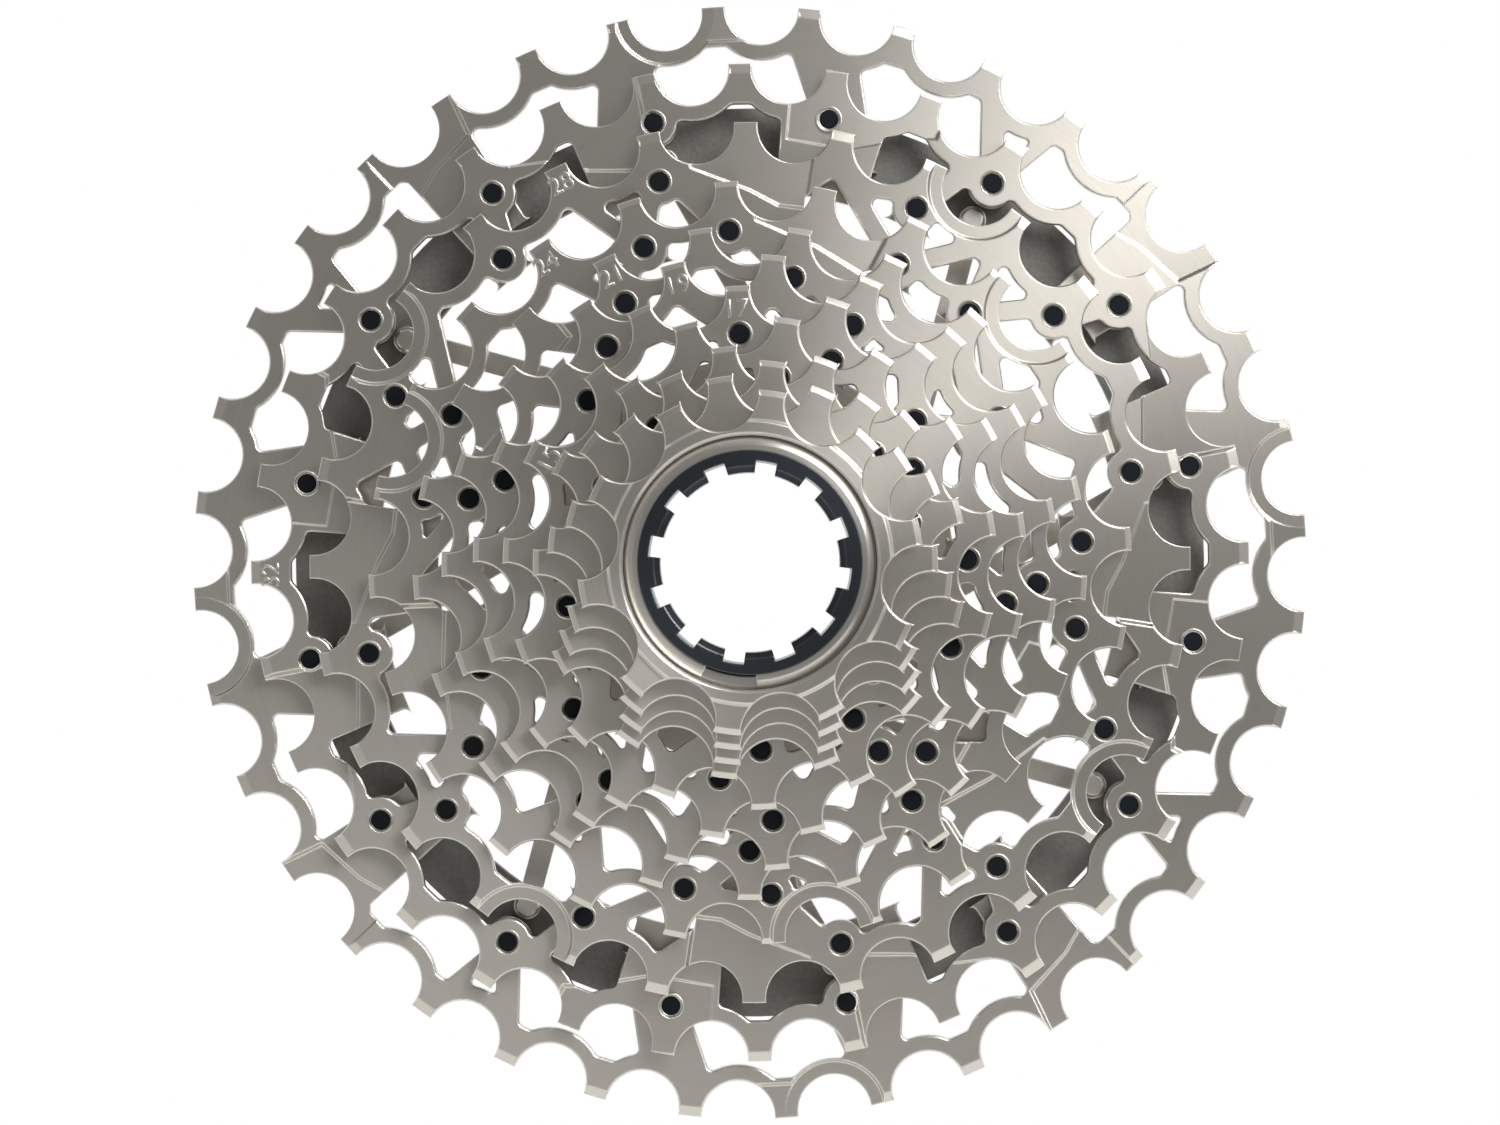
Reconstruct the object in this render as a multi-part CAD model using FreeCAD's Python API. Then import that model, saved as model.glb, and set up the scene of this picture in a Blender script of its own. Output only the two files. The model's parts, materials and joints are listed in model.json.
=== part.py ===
import FreeCAD, Part
import math
import os

os.makedirs("parts", exist_ok=True)
Vector = FreeCAD.Vector

# The axis runs along Y. The front, with the smallest cog, faces -Y.
# The rear seat against the hub driver lies at y = 0.

# chain and teeth
chain_pitch = 12.7
cog_spacing = 3.6
cog_thickness = 1.6
roller_seat = 4.9
seat_centre_rise = 0.9
flank_lean = 4.0
tip_rise_large = 1.1
tip_rise_small = 0.85
high_tips_from = 19
tip_bevel_large = 1.3
tip_bevel_small = 0.7
wide_bevels_from = 28
edge_bevel = 0.15
front_bevel_depth = 0.4
recess_depth = 0.5
recess_slope = 0.35
ramp_tilt = 1.5
cup_share = 0.8
rim_width = 2.1
window_drop = 0.2
smallest_window = 3.0
window_round = 0.8
round_share = 0.9
fine_spoke_width = 2.6
overrun = 1.0

# pins
pin_radius = 1.25
pin_inset = 1.35
deep_pin_inset = 2.8
cluster_pin_inset = 1.9
pin_shoulder_radius = 2.0
pin_boss_radius = 3.1
inner_wall = 2.4
countersink_radius = 1.6
countersink_depth = 0.35

# back plate, spider and driver sleeve
plate_thickness = 2.4
plate_edge_inset = 0.3
plate_width = 8.0
spider_thickness = 1.5
spider_overlap = 3.6
spider_arm_turn = 33.0
spider_hub_outer = 27.0
spider_arms = 8
spider_arm_width = 2.8
spider_arm_sweep = 24.0
spider_foot_inset = 2.0
plate_rivet_inset = 2.7
rivet_radius = 0.9
rivet_head_radius = 1.7
rivet_top_radius = 1.3
rivet_head_height = 0.6
sleeve_outer = 21.0
sleeve_length = 14.0
sleeve_flange = 24.5
spline_count = 9
spline_root = 19.0
spline_crest = 17.6
spline_width = 3.0
spline_overlap = 0.5
spline_end_inset = 2.0
seat_ring_bore = 18.4
seat_ring_thickness = 1.0

# small cluster and lock tube
collar_height = 0.7
collar_radius = 17.7
collar_bore = 15.7
collar_bevel = 0.35
collar_bore_depth = 2.4
neck_radius = 13.9
running_gap = 0.2
tube_shoulder_radius = 18.4
tube_rear = 20.0
tube_wall = 1.4
spline_gap_radius = 12.6
tool_tooth_radius = 11.15
tool_tooth_edge = 11.9
tool_tooth_inner_width = 3.1
tool_tooth_outer_width = 4.2
tool_teeth = 12
tool_tooth_turn = 24.4
tool_tooth_inner_overlap = 0.5
tool_tooth_outer_overlap = 0.3
tool_depth = 7.0
tool_recess = 0.5
ring_groove_radius = 13.2
ring_thickness = 1.0
ring_outer = 15.4
ring_slit = 26.0
ring_bevel = 0.4
ring_slit_angle = 190.0
washer_thickness = 0.6
axial_play = 0.05
cluster_step_gap = 0.35


def at(radius, angle, y=0.0):
    turn = math.radians(angle)
    return Vector(radius * math.sin(turn), y, radius * math.cos(turn))


def disc(radius, centre, depth):
    return Part.makeCylinder(radius, depth, centre, Vector(0, 1, 0))


def tube(inner, outer, y, depth):
    middle = Vector(0, y, 0)
    return disc(outer, middle, depth).cut(disc(inner, middle, depth))


def cone(front, rear, centre, depth):
    return Part.makeCone(front, rear, depth, centre, Vector(0, 1, 0))


def revolved(profile):
    points = [Vector(r, y, 0) for r, y in profile]
    face = Part.Face(Part.makePolygon(points + points[:1]))
    return face.revolve(Vector(0, 0, 0), Vector(0, 1, 0), 360)


def pitch_radius(teeth):
    return chain_pitch / 2 / math.sin(math.pi / teeth)


def root_radius(teeth):
    return pitch_radius(teeth) + seat_centre_rise - roller_seat


def tip_radius(teeth):
    rise = tip_rise_large if teeth >= high_tips_from else tip_rise_small
    return pitch_radius(teeth) + rise


# one closed tooth outline; grow widens the valleys, drop lowers the tips
def outline(teeth, phase, y, grow, drop):
    centre = pitch_radius(teeth) + seat_centre_rise
    seat = roller_seat + grow
    tip = tip_radius(teeth) - drop
    lean = math.radians(flank_lean)
    step = 360 / teeth
    edges = []

    def spot(angle, across, up):
        outward = at(1, angle)
        sideways = at(1, angle + 90)
        return outward * (centre + up) + sideways * across + Vector(0, y, 0)

    def flank_top(angle, side):
        across = seat * math.cos(lean)
        height = centre - seat * math.sin(lean)
        along = across * math.sin(lean) + height * math.cos(lean)
        rest = across ** 2 + height ** 2 - tip ** 2
        run = -along + math.sqrt(along ** 2 - rest)
        wide = side * (across + run * math.sin(lean))
        return spot(angle, wide, height - centre + run * math.cos(lean))

    for number in range(teeth):
        angle = phase + (number + 0.5) * step
        left = spot(angle, -seat * math.cos(lean), -seat * math.sin(lean))
        right = spot(angle, seat * math.cos(lean), -seat * math.sin(lean))
        bottom = spot(angle, 0, -seat)
        top_left = flank_top(angle, -1)
        top_right = flank_top(angle, 1)
        next_left = flank_top(angle + step, -1)
        crown = at(tip, angle + step / 2, y)
        edges.append(Part.LineSegment(top_left, left).toShape())
        edges.append(Part.Arc(left, bottom, right).toShape())
        edges.append(Part.LineSegment(right, top_right).toShape())
        edges.append(Part.Arc(top_right, crown, next_left).toShape())
    return Part.Wire(edges)


def toothed_disc(teeth, phase, front):
    rear = front + cog_thickness
    tip_bevel = tip_bevel_large if teeth >= wide_bevels_from else tip_bevel_small
    wires = [
        outline(teeth, phase, front, edge_bevel, tip_bevel),
        outline(teeth, phase, front + front_bevel_depth, 0, 0),
        outline(teeth, phase, rear - edge_bevel, 0, 0),
        outline(teeth, phase, rear, edge_bevel, edge_bevel),
    ]
    return Part.makeLoft(wires, True, True)


def wedge(start, end, first_width, last_width, depth):
    along = end - start
    along.normalize()
    side = Vector(along.z, 0, -along.x) * 0.5
    first = side * first_width
    last = side * last_width
    corners = [start + first, end + last, end - last, start - first]
    return Part.Face(Part.makePolygon(corners + corners[:1])).extrude(Vector(0, depth, 0))


def strip(start, end, width, depth):
    return wedge(start, end, width, width, depth)


def sector(inner, outer, first, last, y, depth):
    middle = (first + last) / 2
    edges = [
        Part.LineSegment(at(inner, first, y), at(outer, first, y)).toShape(),
        Part.Arc(at(outer, first, y), at(outer, middle, y), at(outer, last, y)).toShape(),
        Part.LineSegment(at(outer, last, y), at(inner, last, y)).toShape(),
        Part.Arc(at(inner, last, y), at(inner, middle, y), at(inner, first, y)).toShape(),
    ]
    return Part.Face(Part.Wire(edges)).extrude(Vector(0, depth, 0))


# a cutter with sloping sides: wide at the front, true to size below that depth
def sloping(face, wide, depth, join):
    broad = face.makeOffset2D(wide, join, False, False, False)
    below = face.translated(Vector(0, depth, 0))
    return Part.makeLoft([broad.Wires[0], below.Wires[0]], True, True)


# the rounding of a narrow window is limited by its width
def rounded(face, largest, depth):
    radius = min(largest, round_share * face.Area / face.Length)
    inner = face.makeOffset2D(-radius, 0, False, False, False)
    cutters = []
    for piece in inner.Faces:
        edge = piece.makeOffset2D(radius, 0, False, False, False)
        cutters.append(edge.extrude(Vector(0, depth, 0)))
        cutters.append(sloping(edge, edge_bevel, edge_bevel, 0))
    return cutters


# windows are what is left between rim, spokes, webs and pin bosses
def windows(cog, front):
    teeth = cog["teeth"]
    step = 360 / teeth
    centre = pitch_radius(teeth) + seat_centre_rise
    cap = root_radius(teeth) - window_drop
    flat = Part.Face([Part.Wire(Part.makeCircle(cap, Vector(0, front, 0), Vector(0, 1, 0)))])
    keep = []
    for number in range(teeth):
        valley = at(centre, cog["phase"] + (number + 0.5) * step, front)
        keep.append(disc(roller_seat + rim_width, valley, overrun))
    for radius, angle in cog["pins"] + cog["held"]:
        keep.append(disc(pin_boss_radius, at(radius, angle, front), overrun))
    for angle_in, radius_in, angle_out, width in cog["spokes"]:
        start = at(radius_in, angle_in, front)
        keep.append(strip(start, at(cap + overrun, angle_out, front), width, overrun))
    for first, last in cog["webs"]:
        keep.append(sector(cog["inner"], cap + overrun, first, last, front, overrun))
    keep.append(disc(cog["inner"], Vector(0, front, 0), overrun))
    left = flat.cut([shape.translated(Vector(0, -overrun / 2, 0)) for shape in keep])
    pieces = []
    for face in left.Faces:
        if face.Area > smallest_window:
            pieces += rounded(face, window_round, cog_thickness)
    return pieces


# a ramp pocket; its floor tilts about the radius through the middle of its corners
def recess(points, front, tilt):
    corners = [at(radius, angle, front - overrun) for radius, angle in points]
    face = Part.Face(Part.makePolygon(corners + corners[:1]))
    depth = recess_depth + overrun
    cutter = sloping(face, recess_slope * depth / recess_depth, depth, 2)
    middle = sum(angle for radius, angle in points) / len(points)
    cutter.rotate(at(0, 0, front + recess_depth), at(1, middle), tilt)
    return cutter


def pin_hole(radius, angle, front):
    hole = disc(pin_radius, at(radius, angle, front), cog_thickness)
    sink = cone(countersink_radius, pin_radius, at(radius, angle, front), countersink_depth)
    return [hole, sink]


def stamped_cog(cog, front):
    plate = toothed_disc(cog["teeth"], cog["phase"], front)
    tools = windows(cog, front)
    tools.append(disc(cog["inner"], Vector(0, front, 0), cog_thickness))
    for radius, angle in cog["pins"]:
        tools += pin_hole(radius, angle, front)
    for radius, angle in cog["held"]:
        tools.append(disc(pin_radius, at(radius, angle, front), cog_thickness))
    tools += [recess(points, front, ramp_tilt) for points in cog["recesses"]]
    centre = pitch_radius(cog["teeth"]) + seat_centre_rise
    for angle in cog["cups"]:
        reach = roller_seat + rim_width * cup_share
        cup = cone(reach + recess_slope, reach, at(centre, angle, front), recess_depth)
        tools.append(cup)
    return plate.cut(tools)


# a pin: a thin end in each cog and a shoulder that keeps them apart
def pin(radius, angle, front):
    start = at(radius, angle, front + countersink_depth)
    long = cog_spacing + cog_thickness - countersink_depth
    shank = disc(pin_radius, start, long)
    middle = at(radius, angle, front + cog_thickness)
    shoulder = disc(pin_shoulder_radius, middle, cog_spacing - cog_thickness)
    return shank.fuse(shoulder).removeSplitter()


def around(radius, angles, fold=1):
    turns = [360 / fold * number for number in range(fold)]
    return [(radius, angle + turn) for turn in turns for angle in angles]


# every pin held from the smaller cog gets two spokes to the nearest teeth
def paired_spokes(teeth, phase, held, width):
    step = 360 / teeth
    result = []
    for radius, angle in held:
        below = phase + math.floor((angle - phase) / step) * step
        if angle - below < step / 4:
            targets = [below - step, below + step]
        elif angle - below > step * 0.75:
            targets = [below, below + 2 * step]
        else:
            targets = [below, below + step]
        result += [(angle, radius, target, width) for target in targets]
    return result


front_36 = -plate_thickness - cog_thickness
sizes = [36, 32, 28, 24, 21, 19, 17, 15, 13, 12, 11, 10]
phases = [6.2, 10.1, 12.3, 11.4, 8.6, 4.4, 357.4, 8.8, 20.75, 6.5, 23.27, 7.6]
fronts = {teeth: front_36 - cog_spacing * place for place, teeth in enumerate(sizes)}
phase_of = dict(zip(sizes, phases))


# pin circles lie a set distance inside the valley bottoms
def pin_circle(teeth, inset=pin_inset):
    return root_radius(teeth) - inset


def tooth_angles(teeth, numbers):
    return [phase_of[teeth] + 360 / teeth * number for number in numbers]


pins = {
    32: around(pin_circle(32), tooth_angles(32, range(0, 32, 2))),
    28: around(pin_circle(28), tooth_angles(28, [1, 3, 5]), 4),
    24: around(pin_circle(24), tooth_angles(24, [1, 2, 5, 6, 9, 11, 12, 15, 18, 19, 22, 23])),
    21: around(pin_circle(21), tooth_angles(21, [0, 3, 5, 8, 10, 12, 14, 16, 19])),
    19: around(pin_circle(19), tooth_angles(19, range(1, 19, 2))),
    17: around(pin_circle(17), tooth_angles(17, [0, 7, 11, 15]))
        + around(pin_circle(17, deep_pin_inset), [22.1, 49.4, 89.2, 112.7, 188.0, 272.7]),
    15: around(pin_circle(15, deep_pin_inset), [60.3, 104.0, 146.5, 176.7, 216.0, 256.5, 300.0, 8.8]),
    13: around(pin_circle(13, cluster_pin_inset), tooth_angles(13, [1, 2, 4, 6, 8, 10, 11])),
}
plate_outer = root_radius(32) - plate_edge_inset
plate_rivet_circle = pin_circle(32) - plate_rivet_inset
plate_inner = plate_outer - plate_width
spider_rivet_circle = plate_inner + spider_overlap / 2
spider_reach = plate_inner + spider_overlap

plate_rivets = around(plate_rivet_circle, [14.5, 71.0], 4)

cogs = {}
for larger, smaller in zip(sizes[:8], sizes[1:9]):
    cogs[larger] = {
        "teeth": larger,
        "phase": phase_of[larger],
        "pins": pins.get(larger, []),
        "held": pins[smaller],
        "inner": pins[smaller][-1][0] - inner_wall,
        "spokes": [],
        "webs": [],
        "recesses": [],
        "cups": [],
    }

for quarter in range(4):
    turn = 90 * quarter
    big = cogs[36]
    big["spokes"] += [
        (10.1 + turn, pin_circle(32), 5.6 + turn, 3.6),
        (32.6 + turn, pin_circle(32), 27.6 + turn, 3.2),
        (32.6 + turn, pin_circle(32), 35.3 + turn, 2.2),
        (77.6 + turn, pin_circle(32), 75.6 + turn, 6.4),
        (14.5 + turn, plate_rivet_circle, 10.1 + turn, 4.0),
        (71.0 + turn, plate_rivet_circle, 75.0 + turn, 4.0),
    ]
    big["webs"].append((48.0 + turn, 57.0 + turn))
    low = root_radius(36)
    high = tip_radius(36) + overrun
    big["recesses"].append([
        (low - 4.0, 46.3 + turn), (low - 2.0, 51.0 + turn), (low - 0.6, 56.5 + turn),
        (high, 57.2 + turn), (high, 46.3 + turn),
    ])
    big["recesses"].append([
        (high, 84.6 + turn), (low + 0.8, 84.6 + turn), (low + 0.8, 89.5 + turn), (high, 87.5 + turn),
    ])
    big["cups"].append(81.2 + turn)
    second = cogs[32]
    second["spokes"] += [
        (25.15 + turn, pin_circle(28), 30.1 + turn, 3.0),
        (50.87 + turn, pin_circle(28), 54.6 + turn, 4.4),
    ]
    second["webs"] += [(67.0 + turn, 77.8 + turn), (4.0 + turn, 17.5 + turn)]
    low = root_radius(32)
    high = tip_radius(32) + overrun
    second["recesses"].append([
        (low - 4.6, 13.4 + turn), (low - 0.8, 20.7 + turn), (low + 0.4, 23.5 + turn),
        (high, 24.0 + turn), (high, 5.0 + turn), (low - 4.6, 5.0 + turn),
    ])
    second["recesses"].append([
        (low + 0.4, 58.8 + turn), (low - 1.3, 63.0 + turn), (low - 4.7, 67.7 + turn),
        (low - 6.6, 73.5 + turn), (low - 6.6, 76.0 + turn), (high, 76.5 + turn), (high, 58.8 + turn),
    ])
    third = cogs[28]
    low = root_radius(28)
    high = tip_radius(28) + overrun
    third["recesses"].append([
        (low - 0.3, 81.5 + turn), (low - 3.7, 90.0 + turn), (low - 5.5, 94.6 + turn),
        (low - 5.5, 98.6 + turn), (high, 98.6 + turn), (high, 81.5 + turn),
    ])
    third["cups"].append(12.3 + 360 / 28 * 1.5 + turn)
    third["webs"].append((81.5 + turn, 98.6 + turn))

for third_turn in range(3):
    turn = 120 * third_turn
    fourth = cogs[24]
    low = root_radius(24)
    high = tip_radius(24) + overrun
    fourth["recesses"].append([
        (low, 1.0 + turn), (low - 2.4, 12.0 + turn), (low - 4.2, 21.8 + turn),
        (high, 23.0 + turn), (high, 1.0 + turn),
    ])
    fourth["cups"].append(11.4 + 15 * 2.5 + turn)
    fourth["webs"].append((2.0 + turn, 21.0 + turn))

for start in (106.0, 293.0):
    low = root_radius(21)
    high = tip_radius(21) + overrun
    cogs[21]["recesses"].append([
        (low - 1.0, start), (low - 2.2, start + 14), (low - 1.0, start + 28),
        (high, start + 28), (high, start),
    ])

for teeth in (28, 24, 21, 19, 17, 15):
    item = cogs[teeth]
    item["spokes"] = paired_spokes(teeth, item["phase"], item["held"], fine_spoke_width)

cogs[15]["inner"] = tube_shoulder_radius + running_gap
cogs[36]["inner"] = plate_rivet_circle - inner_wall
cogs[36]["held"] = cogs[36]["held"] + plate_rivets

made = {}

for teeth, cog in cogs.items():
    made["cog_%dt" % teeth] = stamped_cog(cog, fronts[teeth])

for teeth, places in pins.items():
    larger = sizes[sizes.index(teeth) - 1]
    group = [pin(radius, angle, fronts[teeth]) for radius, angle in places]
    made["pins_%dt_to_%dt" % (teeth, larger)] = Part.makeCompound(group)

# small cluster: four toothed rings on one stepped sleeve
neck_bore = neck_radius + running_gap
shoulder_bore = tube_shoulder_radius + running_gap
wide_start = fronts[12] + cog_thickness
cluster_rear = fronts[13] + cog_thickness
cluster = toothed_disc(10, phase_of[10], fronts[10])
for teeth in (11, 12, 13):
    cluster = cluster.fuse(toothed_disc(teeth, phase_of[teeth], fronts[teeth]))
for teeth in (10, 11, 12):
    start = fronts[teeth] + cog_thickness
    step_radius = root_radius(teeth) - cluster_step_gap
    cluster = cluster.fuse(disc(step_radius, Vector(0, start, 0), cog_spacing - cog_thickness))
collar_front = fronts[10] - collar_height
collar_wire = outline(10, phase_of[10], collar_front, edge_bevel, 0)
collar = Part.Face(collar_wire).extrude(Vector(0, collar_height, 0))
rounding = cone(collar_radius - collar_bevel, collar_radius, Vector(0, collar_front, 0), collar_bevel)
straight = disc(collar_radius, Vector(0, collar_front + collar_bevel, 0), collar_height - collar_bevel)
collar = collar.common(rounding.fuse(straight))
cluster = cluster.fuse(collar)
bore_end = collar_front + collar_bore_depth
cluster = cluster.cut([
    cone(collar_bore + collar_bevel, collar_bore, Vector(0, collar_front, 0), collar_bevel),
    disc(collar_bore, Vector(0, collar_front, 0), collar_bore_depth),
    disc(neck_bore, Vector(0, collar_front, 0), wide_start - collar_front),
    disc(shoulder_bore, Vector(0, wide_start, 0), cluster_rear - wide_start),
])
for radius, angle in pins[13]:
    cluster = cluster.cut(pin_hole(radius, angle, fronts[13]))
made["small_cog_cluster"] = cluster

# lock tube: a neck with tool teeth, a groove for the ring and a wide threaded skirt
tube_front = collar_front + tool_recess
washer_front = bore_end - washer_thickness
ring_front = washer_front - ring_thickness - axial_play
skirt_front = wide_start + running_gap
thread_radius = tube_shoulder_radius - tube_wall
skirt_rear = -tube_rear
lock_profile = [
    (spline_gap_radius, tube_front),
    (neck_radius, tube_front),
    (neck_radius, ring_front),
    (ring_groove_radius, ring_front),
    (ring_groove_radius, ring_front + ring_thickness),
    (neck_radius, ring_front + ring_thickness),
    (neck_radius, skirt_front),
    (tube_shoulder_radius, skirt_front),
    (tube_shoulder_radius, skirt_rear),
    (thread_radius, skirt_rear),
    (thread_radius, skirt_front + tube_wall),
    (spline_gap_radius, skirt_front + tube_wall),
]
lock = revolved(lock_profile)
tooth_ring = revolved([
    (spline_gap_radius, tube_front),
    (spline_gap_radius, tube_front + tool_depth),
    (tool_tooth_radius, tube_front + tool_depth),
    (tool_tooth_radius, tube_front + tool_tooth_edge - tool_tooth_radius),
    (tool_tooth_edge, tube_front),
])
for number in range(tool_teeth):
    angle = tool_tooth_turn + 360 / tool_teeth * number
    near = at(tool_tooth_radius - tool_tooth_inner_overlap, angle, tube_front)
    far = at(spline_gap_radius + tool_tooth_outer_overlap, angle, tube_front)
    tooth = wedge(near, far, tool_tooth_inner_width, tool_tooth_outer_width, tool_depth)
    lock = lock.fuse(tooth.common(tooth_ring))
made["lock_tube"] = lock

ring = revolved([
    (ring_groove_radius, ring_front),
    (ring_outer - ring_bevel * 2, ring_front),
    (ring_outer, ring_front + ring_bevel),
    (ring_outer, ring_front + ring_thickness),
    (ring_groove_radius, ring_front + ring_thickness),
])
slit_first = ring_slit_angle - ring_slit / 2
slit_inner = ring_groove_radius - overrun
slit_outer = ring_outer + overrun
slit = sector(slit_inner, slit_outer, slit_first, slit_first + ring_slit, ring_front, ring_thickness)
made["retaining_ring"] = ring.cut(slit)
made["thrust_washer"] = tube(neck_bore, ring_outer, washer_front, washer_thickness)

# back plate: the dark ring behind the largest cog
plate = tube(plate_inner, plate_outer, -plate_thickness, plate_thickness)
spider_rivets = around(spider_rivet_circle, [spider_arm_turn], spider_arms)
spider_front = -plate_thickness - spider_thickness
for radius, angle in plate_rivets + spider_rivets:
    plate = plate.cut(disc(rivet_radius, at(radius, angle, -plate_thickness), plate_thickness))
made["back_plate"] = plate


# a rivet: a shank through both sheets and a low head on each side
def rivet(radius, angle, front, length, front_head):
    body = disc(rivet_radius, at(radius, angle, front), length)
    end = at(radius, angle, front + length)
    body = body.fuse(cone(rivet_head_radius, rivet_top_radius, end, rivet_head_height))
    if front_head:
        start = at(radius, angle, front - rivet_head_height)
        body = body.fuse(cone(rivet_top_radius, rivet_head_radius, start, rivet_head_height))
    return body


long = plate_thickness + cog_thickness
outer_rivets = [rivet(radius, angle, front_36, long, False) for radius, angle in plate_rivets]
made["plate_rivets"] = Part.makeCompound(outer_rivets)
long = plate_thickness + spider_thickness
inner_rivets = [rivet(radius, angle, spider_front, long, True) for radius, angle in spider_rivets]
made["spider_rivets"] = Part.makeCompound(inner_rivets)

# spider: swept arms from the driver sleeve out to the back plate
spider = tube(sleeve_outer, spider_hub_outer, spider_front, spider_thickness)
for radius, angle in spider_rivets:
    end = at(radius, angle, spider_front)
    foot = at(spider_hub_outer - spider_foot_inset, angle + spider_arm_sweep, spider_front)
    spider = spider.fuse(strip(foot, end, spider_arm_width, spider_thickness))
    spider = spider.fuse(disc(spider_reach - spider_rivet_circle, end, spider_thickness))
spider = spider.cut(disc(sleeve_outer, Vector(0, spider_front, 0), spider_thickness))
for radius, angle in spider_rivets:
    spider = spider.cut(disc(rivet_radius, at(radius, angle, spider_front), spider_thickness))
made["spider"] = spider.removeSplitter()

# driver sleeve: flange behind the spider, splines inside
sleeve_front = -sleeve_length
flange_front = spider_front + spider_thickness
spline_length = sleeve_length - spline_end_inset
flange_length = -seat_ring_thickness - flange_front
sleeve = tube(spline_root, sleeve_outer, sleeve_front, spline_length)
sleeve = sleeve.fuse(tube(spline_root, sleeve_flange, flange_front, flange_length))
for number in range(spline_count):
    angle = 360 / spline_count * number
    near = at(spline_crest, angle, sleeve_front)
    far = at(spline_root + spline_overlap, angle, sleeve_front)
    sleeve = sleeve.fuse(strip(near, far, spline_width, spline_length))
made["driver_sleeve"] = sleeve.removeSplitter()

# seat ring: closes the rear of the flange and centres the cassette on the driver
made["seat_ring"] = tube(seat_ring_bore, sleeve_flange, -seat_ring_thickness, seat_ring_thickness)

for name, shape in made.items():
    shape.exportStep("parts/%s.step" % name)
    print(name, shape.isValid(), len(shape.Solids), round(shape.Volume, 1), len(shape.Faces))
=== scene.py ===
import bpy
import bmesh
import json
import math
from mathutils import Matrix, Vector


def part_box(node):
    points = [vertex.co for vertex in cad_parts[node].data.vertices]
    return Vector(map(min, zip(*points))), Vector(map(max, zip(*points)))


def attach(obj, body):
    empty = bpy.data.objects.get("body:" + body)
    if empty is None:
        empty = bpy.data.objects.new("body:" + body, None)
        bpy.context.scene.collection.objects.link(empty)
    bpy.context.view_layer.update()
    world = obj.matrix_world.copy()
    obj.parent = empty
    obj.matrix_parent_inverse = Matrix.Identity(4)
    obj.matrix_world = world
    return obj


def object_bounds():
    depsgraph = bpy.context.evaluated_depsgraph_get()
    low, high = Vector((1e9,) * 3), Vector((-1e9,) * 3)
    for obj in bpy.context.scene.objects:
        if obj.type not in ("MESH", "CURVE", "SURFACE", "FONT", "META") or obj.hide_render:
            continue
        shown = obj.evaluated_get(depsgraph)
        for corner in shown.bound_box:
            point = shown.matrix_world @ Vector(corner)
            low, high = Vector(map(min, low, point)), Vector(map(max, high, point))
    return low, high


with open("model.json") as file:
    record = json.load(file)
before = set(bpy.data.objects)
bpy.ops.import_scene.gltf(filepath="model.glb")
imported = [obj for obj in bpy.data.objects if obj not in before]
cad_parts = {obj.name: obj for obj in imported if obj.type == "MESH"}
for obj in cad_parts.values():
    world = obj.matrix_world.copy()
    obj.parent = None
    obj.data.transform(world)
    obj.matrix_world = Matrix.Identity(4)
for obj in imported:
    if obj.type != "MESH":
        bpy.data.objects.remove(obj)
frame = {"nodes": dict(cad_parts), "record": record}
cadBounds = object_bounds()
nodes = frame["nodes"]
millimetre = 0.001

def linearColour(hexText):
    parts = [int(hexText[i:i + 2], 16) / 255 for i in (0, 2, 4)]
    return tuple(c / 12.92 if c <= 0.04045 else ((c + 0.055) / 1.055) ** 2.4 for c in parts) + (1.0,)

def addNode(tree, kind, inputs=None, **settings):
    node = tree.nodes.new(kind)
    for name, value in settings.items():
        setattr(node, name, value)
    for key, value in (inputs or {}).items():
        if isinstance(value, bpy.types.NodeSocket):
            tree.links.new(value, node.inputs[key])
        else:
            node.inputs[key].default_value = value
    return node

# finishes; grain sizes are real millimetres, and "edge" is how strongly a painted highlight brightens the
# base colour along the edges
finishes = {
    # satin plating over brushed steel: bright and dark sectors that follow the brushing
    "nickelPlatedSteel": {"colour": "CBC6BE", "dark": "C1BCB3", "roughness": 0.3,
                          "grainMm": 0.35, "bump": 0.04, "aniso": 0.7, "edge": 1.0},
    # lathe-turned steel: a finer grain and a slightly sharper shine
    "turnedSteel": {"colour": "CFCBC4", "dark": "C2BDB5", "roughness": 0.28,
                    "grainMm": 0.3, "bump": 0.06, "aniso": 0.7, "edge": 1.0},
    # matt blackened steel: almost no highlight, so a pin's end reads as a dark dot
    "blackPinSteel": {"colour": "24272B", "dark": "1B1D21", "roughness": 0.5,
                      "grainMm": 0.4, "bump": 0.04, "aniso": 0.0, "edge": 0.0},
    # anodised aluminium: a smooth blue-black sheen
    "blackAnodisedAluminium": {"colour": "474B51", "dark": "404449", "roughness": 0.3,
                               "grainMm": 0.4, "bump": 0.02, "aniso": 0.4, "edge": 0.12},
    # bead-blasted aluminium: an even, sandy grey with no clear highlight
    "blastedAluminium": {"colour": "83827E", "dark": "6C6B67", "roughness": 0.62,
                         "grainMm": 0.55, "bump": 0.35, "aniso": 0.0, "edge": 0.2},
    # plain silver aluminium: pale and slightly milky
    "silverAluminium": {"colour": "CFCBC3", "dark": "BDB8AE", "roughness": 0.36,
                        "grainMm": 0.5, "bump": 0.04, "aniso": 0.3, "edge": 0.7},
}

# brushing noise, with the bump's height in millimetres
brushing = {"turnScale": 6.0, "detail": 3.0, "evenDetail": 4.0, "bumpHeight": 0.1}
# edge width in millimetres; flat and turned are how closely the rounded and true normals agree; colour is the
# near-white of the painted edge highlight
edges = {"width": 0.3, "samples": 4, "flat": 0.985, "turned": 0.85, "colour": "FBF9F4"}

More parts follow.
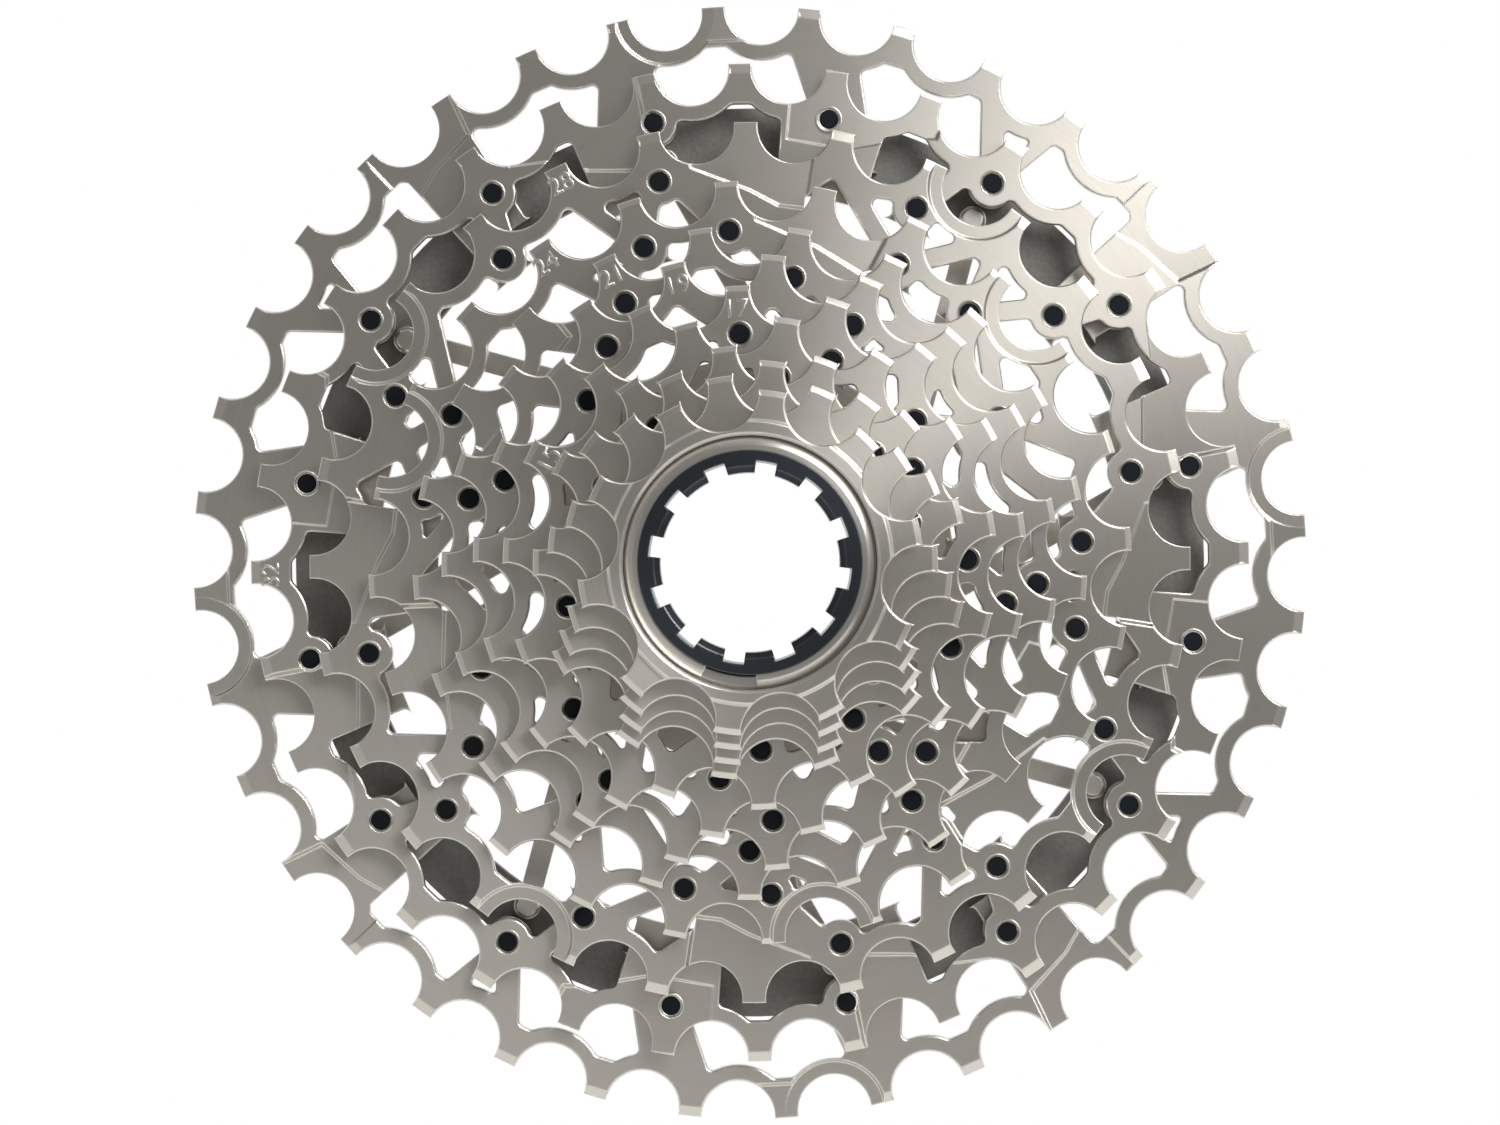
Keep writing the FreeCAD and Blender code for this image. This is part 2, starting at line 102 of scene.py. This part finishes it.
def makeFinish(name, data):
    material = bpy.data.materials.new(name)
    material.use_nodes = True
    tree = material.node_tree
    tree.nodes.clear()
    coord = addNode(tree, "ShaderNodeTexCoord")
    split = addNode(tree, "ShaderNodeSeparateXYZ", {0: coord.outputs["Object"]})
    flat = addNode(tree, "ShaderNodeCombineXYZ", {"X": split.outputs["X"], "Z": split.outputs["Z"]})
    radius = addNode(tree, "ShaderNodeVectorMath", {0: flat.outputs[0]}, operation="LENGTH")
    outward = addNode(tree, "ShaderNodeVectorMath", {0: flat.outputs[0]}, operation="NORMALIZE")
    grain = data["grainMm"] * millimetre
    if data["aniso"] > 0:  # round brushing: fine across the radius, long along the turn
        across = addNode(tree, "ShaderNodeMath", {0: radius.outputs["Value"], 1: 1 / grain},
                         operation="MULTIPLY")
        along = addNode(tree, "ShaderNodeVectorMath", {0: outward.outputs[0], "Scale": brushing["turnScale"]},
                        operation="SCALE")
        lift = addNode(tree, "ShaderNodeCombineXYZ", {"Y": across.outputs[0]})
        place = addNode(tree, "ShaderNodeVectorMath", {0: along.outputs[0], 1: lift.outputs[0]},
                        operation="ADD")
        noise = addNode(tree, "ShaderNodeTexNoise", {
            "Vector": place.outputs[0], "Scale": 1.0, "Detail": brushing["detail"]})
    else:
        noise = addNode(tree, "ShaderNodeTexNoise", {
            "Vector": coord.outputs["Object"], "Scale": 1 / grain, "Detail": brushing["evenDetail"]})
    tone = addNode(tree, "ShaderNodeMix", {0: noise.outputs["Fac"], 6: linearColour(data["dark"]),
                                         7: linearColour(data["colour"])}, data_type="RGBA")
    # softly broken edges: a rounded normal that catches the light, and a painted highlight along it, the base
    # colour mixed toward near-white
    soft = addNode(tree, "ShaderNodeBevel", {"Radius": edges["width"] * millimetre}, samples=edges["samples"])
    true = addNode(tree, "ShaderNodeNewGeometry")
    match = addNode(tree, "ShaderNodeVectorMath", {0: soft.outputs[0], 1: true.outputs["Normal"]},
                    operation="DOT_PRODUCT")
    # mask for the painted highlight: zero on flat faces, rising to the finish's edge strength where the
    # rounded normal turns away
    paintedHighlightMask = addNode(tree, "ShaderNodeMapRange", {
        "Value": match.outputs["Value"], "From Min": edges["flat"], "From Max": edges["turned"],
        "To Min": 0.0, "To Max": data["edge"]})
    # painted highlight: the base colour mixed toward near-white along every edge
    paintedEdgeHighlight = addNode(tree, "ShaderNodeMix", {
        0: paintedHighlightMask.outputs[0], 6: tone.outputs[2], 7: linearColour(edges["colour"])}, data_type="RGBA")
    bump = addNode(tree, "ShaderNodeBump", {
        "Height": noise.outputs["Fac"], "Strength": data["bump"],
        "Distance": brushing["bumpHeight"] * millimetre, "Normal": soft.outputs[0]})
    shader = addNode(tree, "ShaderNodeBsdfPrincipled", {
        "Base Color": paintedEdgeHighlight.outputs[2], "Metallic": 1.0, "Roughness": data["roughness"],
        "Normal": bump.outputs[0]})
    if data["aniso"] > 0:
        tree.links.new(outward.outputs[0], shader.inputs["Tangent"])
        shader.inputs["Anisotropic"].default_value = data["aniso"]
    addNode(tree, "ShaderNodeOutputMaterial", {"Surface": shader.outputs[0]})
    return material

materials = {name: makeFinish(name, data) for name, data in finishes.items()}
slotFinish = {
    "nickel_plated_steel": "nickelPlatedSteel",
    "dark_pin_steel": "blackPinSteel",
    "black_anodised_aluminium": "blackAnodisedAluminium",
    "spring_steel": "turnedSteel",
    "blasted_aluminium": "blastedAluminium",
    "rivet_steel": "silverAluminium",
    "silver_aluminium": "silverAluminium",
}
for part in frame["record"]["subparts"]:
    piece = nodes[part["node"]]
    finish = materials[slotFinish[part["material_slot"]]]
    if not piece.material_slots:
        piece.data.materials.append(finish)
    for held in piece.material_slots:
        held.material = finish
print("finishes on", len(nodes), "CAD nodes")

# tooth-count numerals, standing slightly proud of the cogs: angle in degrees and radius in millimetres
numerals = {
    "height": 3.3, "proud": 0.12, "sink": 0.05, "bevel": 0.05,
    "places": {32: (268.5, 63.2), 28: (333.5, 55.4), 24: (325.7, 47.0), 21: (334.3, 41.0),
               19: (345.3, 36.8), 17: (356.8, 32.4), 15: (297.0, 28.5)},
}

def faceFront(node):
    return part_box(node)[0][1]

def makeNumeral(teeth, angle, radius):
    text = bpy.data.curves.new("numeral%d" % teeth, "FONT")
    text.body = str(teeth)
    text.size = numerals["height"] * millimetre
    text.align_x = "CENTER"
    text.align_y = "CENTER"
    text.extrude = (numerals["proud"] + numerals["sink"]) / 2 * millimetre
    text.bevel_depth = numerals["bevel"] * millimetre
    holder = bpy.data.objects.new("numeral%d" % teeth, text)
    bpy.context.scene.collection.objects.link(holder)
    bpy.context.view_layer.update()
    mesh = bpy.data.meshes.new_from_object(holder.evaluated_get(bpy.context.evaluated_depsgraph_get()))
    bpy.data.objects.remove(holder)
    turn = math.radians(angle)
    stand = Matrix.Rotation(math.radians(90), 4, "X")
    spin = Matrix.Rotation(turn, 4, "Y")
    y = faceFront("cog_%dt" % teeth) - (numerals["proud"] - numerals["sink"]) / 2 * millimetre
    reach = radius * millimetre
    place = Matrix.Translation((reach * math.sin(turn), y, reach * math.cos(turn)))
    mesh.transform(place @ spin @ stand)
    piece = bpy.data.objects.new("numeral%d" % teeth, mesh)
    mesh.materials.clear()
    mesh.materials.append(materials["turnedSteel"])
    bpy.context.scene.collection.objects.link(piece)
    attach(piece, "cassette")

for teeth, (angle, radius) in numerals["places"].items():
    makeNumeral(teeth, angle, radius)
print("numerals made")

# swaged rims round every pin, instanced on the pin centres; lift brings them up to the cog's face
pinRim = {"radius": 1.62, "wire": 0.11, "lift": 0.35, "ringSteps": 28, "wireSteps": 8, "merge": 0.001}

# each pin is an island of the node's mesh; its start is the middle of its front end
def pinStarts(node):
    mesh = bmesh.new()
    mesh.from_mesh(nodes[node].data)
    bmesh.ops.remove_doubles(mesh, verts=mesh.verts, dist=pinRim["merge"] * millimetre)
    seen, starts = set(), []
    for vertex in mesh.verts:
        if vertex in seen:
            continue
        stack, island = [vertex], []
        seen.add(vertex)
        while stack:
            here = stack.pop()
            island.append(here.co.copy())
            for edge in here.link_edges:
                other = edge.other_vert(here)
                if other not in seen:
                    seen.add(other)
                    stack.append(other)
        low = [min(c[i] for c in island) for i in range(3)]
        high = [max(c[i] for c in island) for i in range(3)]
        starts.append(Vector(((low[0] + high[0]) / 2, low[1], (low[2] + high[2]) / 2)))
    mesh.free()
    return starts

def rimTree():
    tree = bpy.data.node_groups.new("swagedRims", "GeometryNodeTree")
    face = tree.interface
    face.new_socket("Points", in_out="INPUT", socket_type="NodeSocketGeometry")
    face.new_socket("Rim radius", in_out="INPUT", socket_type="NodeSocketFloat")
    face.new_socket("Wire radius", in_out="INPUT", socket_type="NodeSocketFloat")
    face.new_socket("Material", in_out="INPUT", socket_type="NodeSocketMaterial")
    face.new_socket("Mesh", in_out="OUTPUT", socket_type="NodeSocketGeometry")
    given = addNode(tree, "NodeGroupInput")
    ring = addNode(tree, "GeometryNodeCurvePrimitiveCircle", {
        "Resolution": pinRim["ringSteps"], "Radius": given.outputs["Rim radius"]})
    wire = addNode(tree, "GeometryNodeCurvePrimitiveCircle", {
        "Resolution": pinRim["wireSteps"], "Radius": given.outputs["Wire radius"]})
    torus = addNode(tree, "GeometryNodeCurveToMesh", {
        "Curve": ring.outputs[0], "Profile Curve": wire.outputs[0]})
    stand = addNode(tree, "GeometryNodeTransform", {
        "Geometry": torus.outputs[0], "Rotation": (math.radians(90), 0, 0)})
    many = addNode(tree, "GeometryNodeInstanceOnPoints", {
        "Points": given.outputs["Points"], "Instance": stand.outputs[0]})
    real = addNode(tree, "GeometryNodeRealizeInstances", {"Geometry": many.outputs[0]})
    smooth = addNode(tree, "GeometryNodeSetShadeSmooth", {"Geometry": real.outputs[0]})
    paint = addNode(tree, "GeometryNodeSetMaterial", {
        "Geometry": smooth.outputs[0], "Material": given.outputs["Material"]})
    addNode(tree, "NodeGroupOutput", {"Mesh": paint.outputs[0]})
    return tree

def bakeTree(name, tree, mesh, values, body):
    piece = bpy.data.objects.new(name, mesh)
    bpy.context.scene.collection.objects.link(piece)
    modifier = piece.modifiers.new(name, "NODES")
    modifier.node_group = tree
    for item in tree.interface.items_tree:
        if item.in_out == "INPUT" and item.name in values:
            modifier[item.identifier] = values[item.name]
    bpy.context.view_layer.update()
    plain = bpy.data.meshes.new_from_object(piece.evaluated_get(bpy.context.evaluated_depsgraph_get()))
    piece.modifiers.remove(modifier)
    piece.data = plain
    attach(piece, body)

starts = []
for name in nodes:
    if name.startswith("pins_"):
        starts += [start + Vector((0, -pinRim["lift"] * millimetre, 0)) for start in pinStarts(name)]
points = bpy.data.meshes.new("pinCentres")
points.from_pydata([tuple(start) for start in starts], [], [])
bakeTree("swagedRims", rimTree(), points, {
    "Rim radius": pinRim["radius"] * millimetre,
    "Wire radius": pinRim["wire"] * millimetre,
    "Material": materials["turnedSteel"]}, "cassette")
print("rims round", len(starts), "pins")

# thread inside the lock tube, a swept helix
thread = {"radius": 16.95, "pitch": 1.0, "depth": 0.55, "turns": 12, "lead": 0.8,
          "turnSteps": 72, "ridgeSteps": 4}

def threadTree():
    tree = bpy.data.node_groups.new("lockThread", "GeometryNodeTree")
    face = tree.interface
    face.new_socket("Seed", in_out="INPUT", socket_type="NodeSocketGeometry")
    for label in ("Radius", "Height", "Turns", "Depth", "Start"):
        face.new_socket(label, in_out="INPUT", socket_type="NodeSocketFloat")
    face.new_socket("Material", in_out="INPUT", socket_type="NodeSocketMaterial")
    face.new_socket("Mesh", in_out="OUTPUT", socket_type="NodeSocketGeometry")
    given = addNode(tree, "NodeGroupInput")
    helix = addNode(tree, "GeometryNodeCurveSpiral", {
        "Resolution": thread["turnSteps"], "Rotations": given.outputs["Turns"],
        "Start Radius": given.outputs["Radius"],
        "End Radius": given.outputs["Radius"], "Height": given.outputs["Height"]})
    ridge = addNode(tree, "GeometryNodeCurvePrimitiveCircle", {
        "Resolution": thread["ridgeSteps"], "Radius": given.outputs["Depth"]})
    sweep = addNode(tree, "GeometryNodeCurveToMesh", {
        "Curve": helix.outputs[0], "Profile Curve": ridge.outputs[0], "Fill Caps": True})
    away = addNode(tree, "ShaderNodeCombineXYZ", {"Y": given.outputs["Start"]})
    lay = addNode(tree, "GeometryNodeTransform", {
        "Geometry": sweep.outputs[0], "Rotation": (math.radians(-90), 0, 0), "Translation": away.outputs[0]})
    real = addNode(tree, "GeometryNodeRealizeInstances", {"Geometry": lay.outputs[0]})
    paint = addNode(tree, "GeometryNodeSetMaterial", {
        "Geometry": real.outputs[0], "Material": given.outputs["Material"]})
    addNode(tree, "NodeGroupOutput", {"Mesh": paint.outputs[0]})
    return tree

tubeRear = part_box("lock_tube")[1][1]
threadLength = thread["turns"] * thread["pitch"] * millimetre
bakeTree("lockThread", threadTree(), bpy.data.meshes.new("threadSeed"), {
    "Radius": thread["radius"] * millimetre, "Height": threadLength, "Turns": float(thread["turns"]),
    "Depth": thread["depth"] * millimetre, "Start": tubeRear - threadLength - thread["lead"] * millimetre,
    "Material": materials["blackAnodisedAluminium"]}, "lock")
print("thread swept")

# studio: the room is bright behind and beside, dim in front except along one diagonal
studio = {
    "floorDrop": 0.18, "floorReach": 0.45, "floorFront": 0.6, "floorRear": 0.24,
    "paper": "F4F4F2", "paperRoughness": 0.9,
    "keyPower": 7.5, "keySize": 0.5, "key": (0.42, -0.62, 0.42),
    "dimTone": 0.27, "frontGlow": 0.58, "rearTone": 1.0, "glowWay": (0.74, 0.0, 0.67),
    "glowFrom": 0.12, "glowTo": 0.7, "sideFrom": -0.3, "sideTo": 0.1,
    "lens": 101.2, "sensor": 36, "cameraDistance": 0.560,
}
scene = bpy.context.scene
scene.view_settings.view_transform = "Standard"

floorMesh = bpy.data.meshes.new("floor")
half = studio["floorReach"]
nearY, farY = -studio["floorFront"], studio["floorRear"]
floorZ = cadBounds[0][2] - studio["floorDrop"]
floorCorners = [(-half, nearY, floorZ), (half, nearY, floorZ), (half, farY, floorZ), (-half, farY, floorZ)]
floorMesh.from_pydata(floorCorners, [], [(0, 1, 2, 3)])
floor = bpy.data.objects.new("floor", floorMesh)
scene.collection.objects.link(floor)
paper = bpy.data.materials.new("whitePaper")
paper.use_nodes = True
paperShader = paper.node_tree.nodes["Principled BSDF"]
paperShader.inputs["Base Color"].default_value = linearColour(studio["paper"])
paperShader.inputs["Roughness"].default_value = studio["paperRoughness"]
floorMesh.materials.append(paper)

world = bpy.data.worlds.new("softRoom")
scene.world = world
world.use_nodes = True
room = world.node_tree
room.nodes.clear()
where = addNode(room, "ShaderNodeTexCoord")
axes = addNode(room, "ShaderNodeSeparateXYZ", {0: where.outputs["Generated"]})
along = addNode(room, "ShaderNodeVectorMath", {0: where.outputs["Generated"], 1: studio["glowWay"]},
                operation="DOT_PRODUCT")
either = addNode(room, "ShaderNodeMath", {0: along.outputs["Value"]}, operation="ABSOLUTE")
front = addNode(room, "ShaderNodeMapRange", {
    "Value": either.outputs[0], "From Min": studio["glowFrom"], "From Max": studio["glowTo"],
    "To Min": studio["dimTone"], "To Max": studio["frontGlow"]}, interpolation_type="SMOOTHSTEP")
sides = addNode(room, "ShaderNodeMapRange", {
    "Value": axes.outputs["Y"], "From Min": studio["sideFrom"], "From Max": studio["sideTo"]},
    interpolation_type="SMOOTHSTEP")
glow = addNode(room, "ShaderNodeMix", {0: sides.outputs[0], 2: front.outputs[0], 3: studio["rearTone"]})
shine = addNode(room, "ShaderNodeBackground", {"Color": (1, 1, 1, 1), "Strength": glow.outputs[0]})
addNode(room, "ShaderNodeOutputWorld", {"Surface": shine.outputs[0]})

def panel(name, place, power, size):
    light = bpy.data.lights.new(name, "AREA")
    light.energy = power
    light.size = size
    lamp = bpy.data.objects.new(name, light)
    lamp.location = place
    lamp.rotation_euler = (-Vector(place)).to_track_quat("-Z", "Y").to_euler()
    scene.collection.objects.link(lamp)

panel("keyPanel", studio["key"], studio["keyPower"], studio["keySize"])

cameraData = bpy.data.cameras.new("camera")
cameraData.lens = studio["lens"]
cameraData.sensor_width = studio["sensor"]
camera = bpy.data.objects.new("camera", cameraData)
camera.location = (0, faceFront("cog_36t") - studio["cameraDistance"], 0)
camera.rotation_euler = (math.radians(90), 0, 0)
scene.collection.objects.link(camera)
scene.camera = camera
print("studio set")
